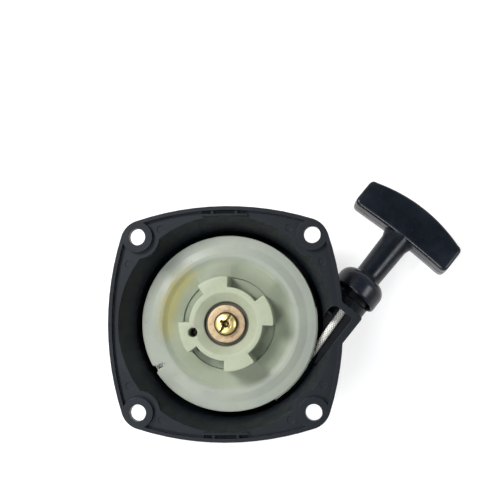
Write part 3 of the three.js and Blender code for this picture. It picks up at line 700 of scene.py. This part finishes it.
def winding_path():
    """The rope on the reel: two layers of two columns, then a last turn in the valley between them."""
    first = math.degrees(KNOT_ANGLE) + 13
    wound = 360 + math.degrees(leave_angle) - first + 4 * 360
    count = round(wound / 3)
    path = []
    for r, after in ((17.5, 0), (20.75, 0), (24.35, 0.2), (26.6, 1.8), (27.95, 5.6)):
        path.append(polar(r, KNOT_ANGLE + math.radians(after), ROPE_Z + COLUMN_Z))
    for i in range(count + 1):
        turned_by = wound * i / count
        cross = [smooth((turned_by - start) / 30) for start in (318, 648, 978, 1308)]
        r = LAYERS[0] + (LAYERS[1] - LAYERS[0]) * cross[1] + (LAYERS[2] - LAYERS[1]) * cross[3]
        r -= (LAYERS[2] - LEAVE_R) * smooth((turned_by - 1375) / 70)
        z = ROPE_Z + COLUMN_Z * (1 - 2 * cross[0] + 2 * cross[2] - cross[3])
        path.append(polar(r, math.radians(first + turned_by), z))
    return path


def pull_rope():
    """The stretch between the neck and the handle, short, with its braid laid out over the whole pull."""
    pull = next(j for j in frame["joints"] if j["name"] == "handle_pull")
    drawn = max(pull["range_m"]) / MM
    start, end = NECK @ Vector((MOUTH_X - 1.6, 0, 0)), NECK @ Vector((MOUTH_X + 0.4, 0, 0))
    count = 240  # sections, with the braid's places spread over the whole pull
    path = [start.lerp(end, i / count) for i in range(count + 1)]
    places = [drawn * i / count for i in range(count + 1)]
    rope = make_rope("rope_drawn", path, 16, 0.0, places)
    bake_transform(rope)
    return rope


def make_knot(name, centre, axis, radius, length, strand):
    """An overhand knot pulled tight: one strand that crosses itself three times."""
    axis = axis.normalized()
    side = axis.orthogonal().normalized()
    over = axis.cross(side)
    path = []
    count = 120
    for i in range(count):
        t = TAU * i / count
        r = (2 + math.cos(3 * t)) / 3 * (radius - strand)
        lift = math.sin(3 * t) * (length / 2 - strand)
        path.append(centre + side * (r * math.cos(2 * t)) + over * (r * math.sin(2 * t)) + axis * lift)
    bm = bmesh.new()
    rows = []
    for i, p in enumerate(path):
        along = (path[(i + 1) % count] - path[i - 1]).normalized()
        across = along.cross(axis).normalized()
        above = across.cross(along)
        ring = [p + across * (strand * math.cos(TAU * k / 12)) + above * (strand * math.sin(TAU * k / 12))
                for k in range(12)]
        rows.append([bm.verts.new(q * MM) for q in ring])
    for i in range(count):
        a, b = rows[i], rows[(i + 1) % count]
        for k in range(12):
            bm.faces.new((a[k], a[(k + 1) % 12], b[(k + 1) % 12], b[k]))
    knot = new_object(name, bm)
    layer = knot.data.uv_layers.new(name="along")
    for face in knot.data.polygons:
        for i in face.loop_indices:
            row, column = divmod(knot.data.loops[i].vertex_index, 12)
            layer.data[i].uv = (column / 12, row * 0.4 * MM)
    shade(knot, 80)
    return knot


# ---------- handle, in its own frame ----------

GRIP_HALF = 22.9
GRIP_THICK = 11.0
FINGER_MID, FINGER_END = 24.4, 23.5
PALM_MID, PALM_END = 39.5, 35.2
CORNER = 2.5


def bulge(mid, end, y):
    """A shallow curve across the grip, from end at its ends to mid in the middle."""
    return mid + (end - mid) * (y / GRIP_HALF) ** 2


def grip_outline(inset):
    """Plan of the grip, moved inwards by inset: both long sides bulge towards the palm."""
    half = GRIP_HALF - inset
    corner = max(CORNER - inset, 0.35)
    count = 28
    ys = [-half + corner + (2 * half - 2 * corner) * i / count for i in range(count + 1)]
    finger = [Vector((bulge(FINGER_MID, FINGER_END, y) + inset, y)) for y in ys]
    palm = [Vector((bulge(PALM_MID, PALM_END, y) - inset, y)) for y in ys]
    low_finger, low_palm = Vector((finger[0].x, -half)), Vector((palm[0].x - 0.1, -half))
    high_finger, high_palm = Vector((finger[0].x, half)), Vector((palm[0].x - 0.1, half))
    slide = Vector((corner, 0))
    outline = quarter(low_finger, finger[0], low_finger + slide, 4)
    outline += quarter(low_palm, low_palm - slide, palm[0], 4)[:-1]
    outline += palm
    outline += quarter(high_palm, palm[-1], high_palm - slide, 4)[1:]
    outline += quarter(high_finger, high_finger + slide, finger[-1], 4)[:-1]
    return outline + finger[:0:-1]


def make_grip():
    """The grip, with rounded edges, slightly crowned faces and the mould's parting line round it."""
    edge = 1.25
    half = GRIP_THICK / 2 - 0.25
    levels = []
    for k in range(6):
        a = math.pi / 2 * k / 5
        levels.append((edge * (1 - math.cos(a)), half - edge + edge * math.sin(a)))
    levels += [(2.2, half + 0.09), (3.4, half + 0.17), (4.6, half + 0.22), (5.4, half + 0.25)]
    rings = [[(p.x, p.y, -z) for p in grip_outline(inset)] for inset, z in reversed(levels)]
    rings.append([(p.x, p.y, -0.12) for p in grip_outline(0)])
    rings += [[(p.x, p.y, z) for p in grip_outline(-0.07)] for z in (-0.05, 0.05)]
    rings.append([(p.x, p.y, 0.12) for p in grip_outline(0)])
    rings += [[(p.x, p.y, z) for p in grip_outline(inset)] for inset, z in levels]
    return lofted("handle", rings, HANDLE)


def make_handle():
    """Grip, stem and the bell that covers the neck, as one moulding with a seat for the cap."""
    rim, top = -6.1, 3.4  # the bell's open and closed ends, along the handle
    bell, inside, stem, stem_top = 9.9, 8.9, 5.35, 5.8  # radii
    outer = [(0, 28), (stem_top, 28), (stem_top, 20.5), (stem, 5.2), (stem + 0.05, 4.2), (stem + 0.25, 3.6),
             (stem + 0.7, top)]
    shoulder = [(p.x, p.y) for p in arc(4.6, 80, 2, 10, (bell - 4.65, top - 4.6))]
    rolled = [(bell, rim + 0.9), (bell - 0.06, rim + 0.35), (bell - 0.3, rim), (inside + 0.2, rim),
              (inside, rim + 0.25)]
    hollow = [(inside - 0.15, -3.9), (inside - 0.5, -1.9), (inside - 1.3, -0.3), (inside - 2.7, 0.9),
              (inside - 4.4, 1.75), (2.4, 1.75), (1.75, 2.3), (1.75, 6), (0, 6)]
    stalk = turned("stalk", outer + shoulder + rolled + hollow, 96, HANDLE, along_x=True)
    flatten(stalk, top + 2, FINGER_MID - 4, 0.11)
    flare_profile = [(0, 27.5), (stem_top + 2.3, 25.3), (stem_top + 1.3, 24.0), (stem_top + 0.6, 22.9),
                     (stem_top + 0.15, 21.6), (stem_top - 0.2, 20.3), (0, 20.3)]
    flatter = HANDLE @ Matrix.Diagonal((1, 1, 0.62, 1))
    flare = turned("flare", flare_profile, 64, flatter, along_x=True)
    seat = turned("seat", [(0, 36.8), (4.5, 36.8), (4.5, 45), (0, 45)], 64, HANDLE, along_x=True)
    handle = make_grip()
    join(handle, stalk, flare)
    cut(handle, seat)
    shade(handle, 42)
    return handle


def flatten(obj, start, end, amount):
    """Presses the part of obj beyond start flatter across the handle's plane, fully from end on."""
    to_handle = (TO_METRES @ HANDLE).inverted()
    for vertex in obj.data.vertices:
        place = to_handle @ vertex.co
        place.z *= 1 - amount * smooth((place.x - start) / (end - start))
        vertex.co = to_handle.inverted() @ place


def make_cap():
    """The plug in the grip's back that hides the knot."""
    profile = [(0, 35.5), (3.3, 35.5), (3.4, 37.1), (4.1, 37.1), (4.2, 37.2), (4.2, 38.9), (4.05, 39.15),
               (3.6, 39.3), (2.0, 39.42), (0, 39.45)]
    cap = turned("cap", profile, 64, HANDLE, along_x=True)
    shade(cap, 45)
    return cap


# ---------- the CAD nodes that stay ----------


def carry_over(node, look):
    """Keeps a CAD node, with the material that it gets here."""
    obj = frame["nodes"][node]
    dress(obj, look)
    shade(obj, 34)


def put(obj, look, slot, body, *nodes):
    """Dresses a piece, and says which CAD nodes it replaces and which body it rides on."""
    dress(obj, look)
    if nodes:
        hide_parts(*nodes)
    if body:
        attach(obj, body)


# ---------- assembly ----------

carry_over("housing", housing_look)
carry_over("recoil_spring", spring_look)
carry_over("spindle_insert", brass_look)
carry_over("rope_guide_eyelet", steel_look)

put(make_screw(), screw_look, "yellow_zinc", "root", "centre_screw")
put(make_washer(), washer_look, "copper_tan", "root", "retaining_washer")
put(make_reel(), nylon_look, "natural_nylon", "reel", "rope_reel")

put(make_rope("rope_wound", winding_path(), 12, 0.0), rope_look, "rope_fibre", "reel", "rope_winding")
knot_z = sum(v.z for v in box_mm("reel_knot")) / 2
put(make_knot("knot_in_reel", polar(KNOT_R, KNOT_ANGLE, knot_z), Vector((0, 0, 1)), 2.55, 4.4, 0.85),
    rope_look, "rope_fibre", "reel", "reel_knot")

run_start = polar(LEAVE_R, leave_angle, ROPE_Z)
run_end = NECK @ Vector((MOUTH_X - 0.3, 0, 0))
run_ahead = (run_end - run_start).normalized()
put(make_rope("rope_to_neck", straight(run_start - run_ahead * 0.2, run_end, 0.16), 48, 0.2),
    rope_look, "rope_fibre", "root", "rope_run")
put(pull_rope(), rope_look, "rope_fibre", None)
lead = straight(HANDLE @ Vector((0.1, 0, 0)), HANDLE @ Vector((27.5, 0, 0)), 0.3)
put(make_rope("rope_in_handle", lead, 32, 0.2), rope_look, "rope_fibre", "handle", "rope_lead")
knot_at = HANDLE @ Vector((31.9, 0, 0))
handle_axis = (HANDLE.to_3x3() @ Vector((1, 0, 0))).normalized()
put(make_knot("knot_in_handle", knot_at, handle_axis, 3.2, 5.8, 1.1), rope_look, "rope_fibre", "handle",
    "handle_knot")
put(make_handle(), handle_look, "handle_plastic", "handle", "pull_handle")
put(make_cap(), handle_look, "handle_plastic", "handle", "handle_cap")


# ---------- floor, light and camera ----------


def make_floor():
    """A plain pale floor that glows a little, so that it stays white behind the object."""
    bm = bmesh.new()
    bmesh.ops.create_grid(bm, x_segments=1, y_segments=1, size=3)
    floor = new_object("floor", bm)
    floor.location.z = CAD_BOX[0].z - 0.0002
    look = Look("pale_floor", (0.4, 0.4, 0.4), 0.9)
    look.base(look.mix(look.noise(400, 2), (0.38, 0.38, 0.38), (0.42, 0.42, 0.42)))
    look.set(look.shader, "Emission Color", (1, 1, 1, 1))
    look.set(look.shader, "Emission Strength", 0.72)
    dress(floor, look)


def area_light(name, place, size, power, colour=(1, 1, 1)):
    """A round soft light that faces the object."""
    light = bpy.data.lights.new(name, "AREA")
    light.shape = "DISK"
    light.size = size
    light.energy = power
    light.color = colour
    obj = bpy.data.objects.new(name, light)
    obj.location = place
    obj.rotation_euler = (-Vector(place)).to_track_quat("-Z", "Y").to_euler()
    bpy.context.scene.collection.objects.link(obj)


def make_light():
    """Four soft lights, and a sky that darkens overhead so that the black plastic stays black."""
    area_light("key", (-0.55, 0.5, 1.0), 0.4, 15)
    area_light("fill", (0.85, -0.05, 0.7), 0.4, 3.5, (0.95, 0.97, 1))
    area_light("low", (-0.42, -0.52, 1.05), 0.4, 7, (0.97, 0.98, 1))
    area_light("top", (-0.15, 0.0, 1.3), 0.5, 1.5, (0.93, 0.96, 1))
    world = bpy.data.worlds.new("studio")
    bpy.context.scene.world = world
    world.use_nodes = True
    nodes, links = world.node_tree.nodes, world.node_tree.links
    direction = nodes.new("ShaderNodeTexCoord").outputs["Generated"]
    split = nodes.new("ShaderNodeSeparateXYZ")
    links.new(direction, split.inputs[0])
    height = nodes.new("ShaderNodeMapRange")
    height.interpolation_type = "SMOOTHSTEP"
    horizon, overhead = 0.45, 0.06
    for socket, value in enumerate((0.35, 0.9, horizon, overhead), 1):
        height.inputs[socket].default_value = value
    links.new(split.outputs[2], height.inputs[0])
    background = nodes["Background"]
    background.inputs["Color"].default_value = (0.95, 0.97, 1, 1)
    links.new(height.outputs[0], background.inputs["Strength"])


def make_camera():
    """Looks down on the mounting face from above the handle, nearly straight."""
    mount_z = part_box("housing")[1][2] / MM
    roll = math.radians(-0.6)
    turn = Matrix.Rotation(roll, 4, "Z")
    eye = turn @ Vector((56, 5, 0)) + Vector((0, 0, mount_z + 450))
    aim = turn @ Vector((23.2, 22.7, 0)) + Vector((0, 0, mount_z))
    view = (aim - eye).normalized()
    down = Vector((0, 0, -1))
    tilt = down.rotation_difference(view).to_matrix().to_4x4()
    camera = bpy.data.cameras.new("camera")
    camera.sensor_width = 36
    camera.lens = 84.7
    camera.shift_x = -0.0697
    camera.shift_y = 0.0298
    camera.clip_start = 0.01
    obj = bpy.data.objects.new("camera", camera)
    obj.matrix_world = Matrix.Translation(eye * MM) @ tilt @ turn
    bpy.context.scene.collection.objects.link(obj)
    bpy.context.scene.camera = obj


make_floor()
make_light()
make_camera()
bpy.context.scene.view_settings.view_transform = "Standard"
